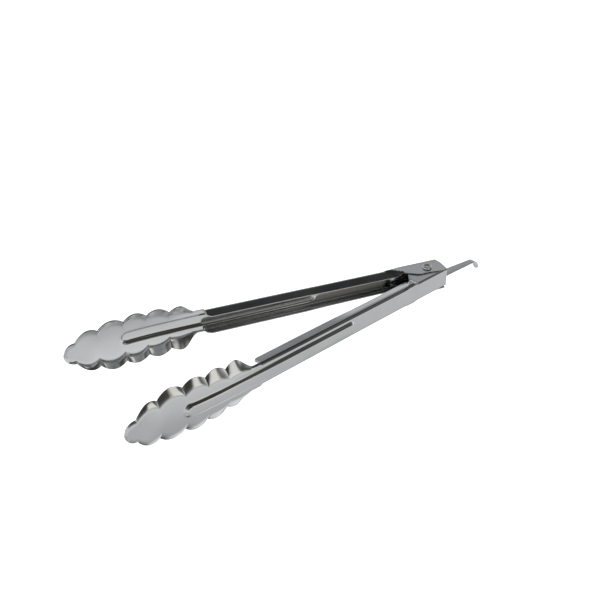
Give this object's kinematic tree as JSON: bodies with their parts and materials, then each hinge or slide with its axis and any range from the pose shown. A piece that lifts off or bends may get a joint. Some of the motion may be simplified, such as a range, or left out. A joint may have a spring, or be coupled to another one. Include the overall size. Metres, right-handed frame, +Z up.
{
  "type": "serving tongs",
  "caption": "Spring loaded serving tongs: pressed sheet steel arms with scalloped heads on a common rivet, held open by a torsion spring, with a pull strip and hanging hook.",
  "frame": {"origin": "middle of the open tongs' footprint, at the height of the lowest scallops", "axes": "X runs along the tool from the tips (-X) to the hook (+X), Y from the inner arm to the outer arm, Z up along the rivet"},
  "size_m": [0.3442, 0.1054, 0.0426],
  "materials": {
    "polished_steel": "bright polished stainless sheet",
    "rivet_steel": "bright, with a dimpled upset head",
    "spring_steel": "drawn spring wire",
    "strip_steel": "satin stainless strip"
  },
  "bodies": {
    "outer_arm": {"outer_arm": "polished_steel"},
    "inner_arm": {"inner_arm": "polished_steel"},
    "pivot": {"pivot_rivet": "rivet_steel", "torsion_spring": "spring_steel"},
    "lock_strip": {"lock_strip": "strip_steel"}
  },
  "joints": [
    {"name": "arm_pivot", "type": "hinge", "parent": "outer_arm", "child": "inner_arm", "pos_m": [0.11339, 0, 0.0213], "axis": [0, 0, -1], "range_deg": [0, 20], "stiffness_Nm_per_rad": 1.2, "springref_deg": -9.74, "deforming": ["torsion_spring"]},
    {"name": "rivet_turn", "type": "hinge", "parent": "outer_arm", "child": "pivot", "pos_m": [0.11339, 0, 0.0213], "axis": [0, 0, -1], "range_deg": [0, 10]},
    {"name": "strip_slide", "type": "slide", "parent": "pivot", "child": "lock_strip", "axis": [0.9959, 0.0906, 0], "range_m": [0, 0.02]}
  ],
  "couplings": [
    {"joint": "rivet_turn", "follows": "arm_pivot", "ratio": 0.5}
  ]
}
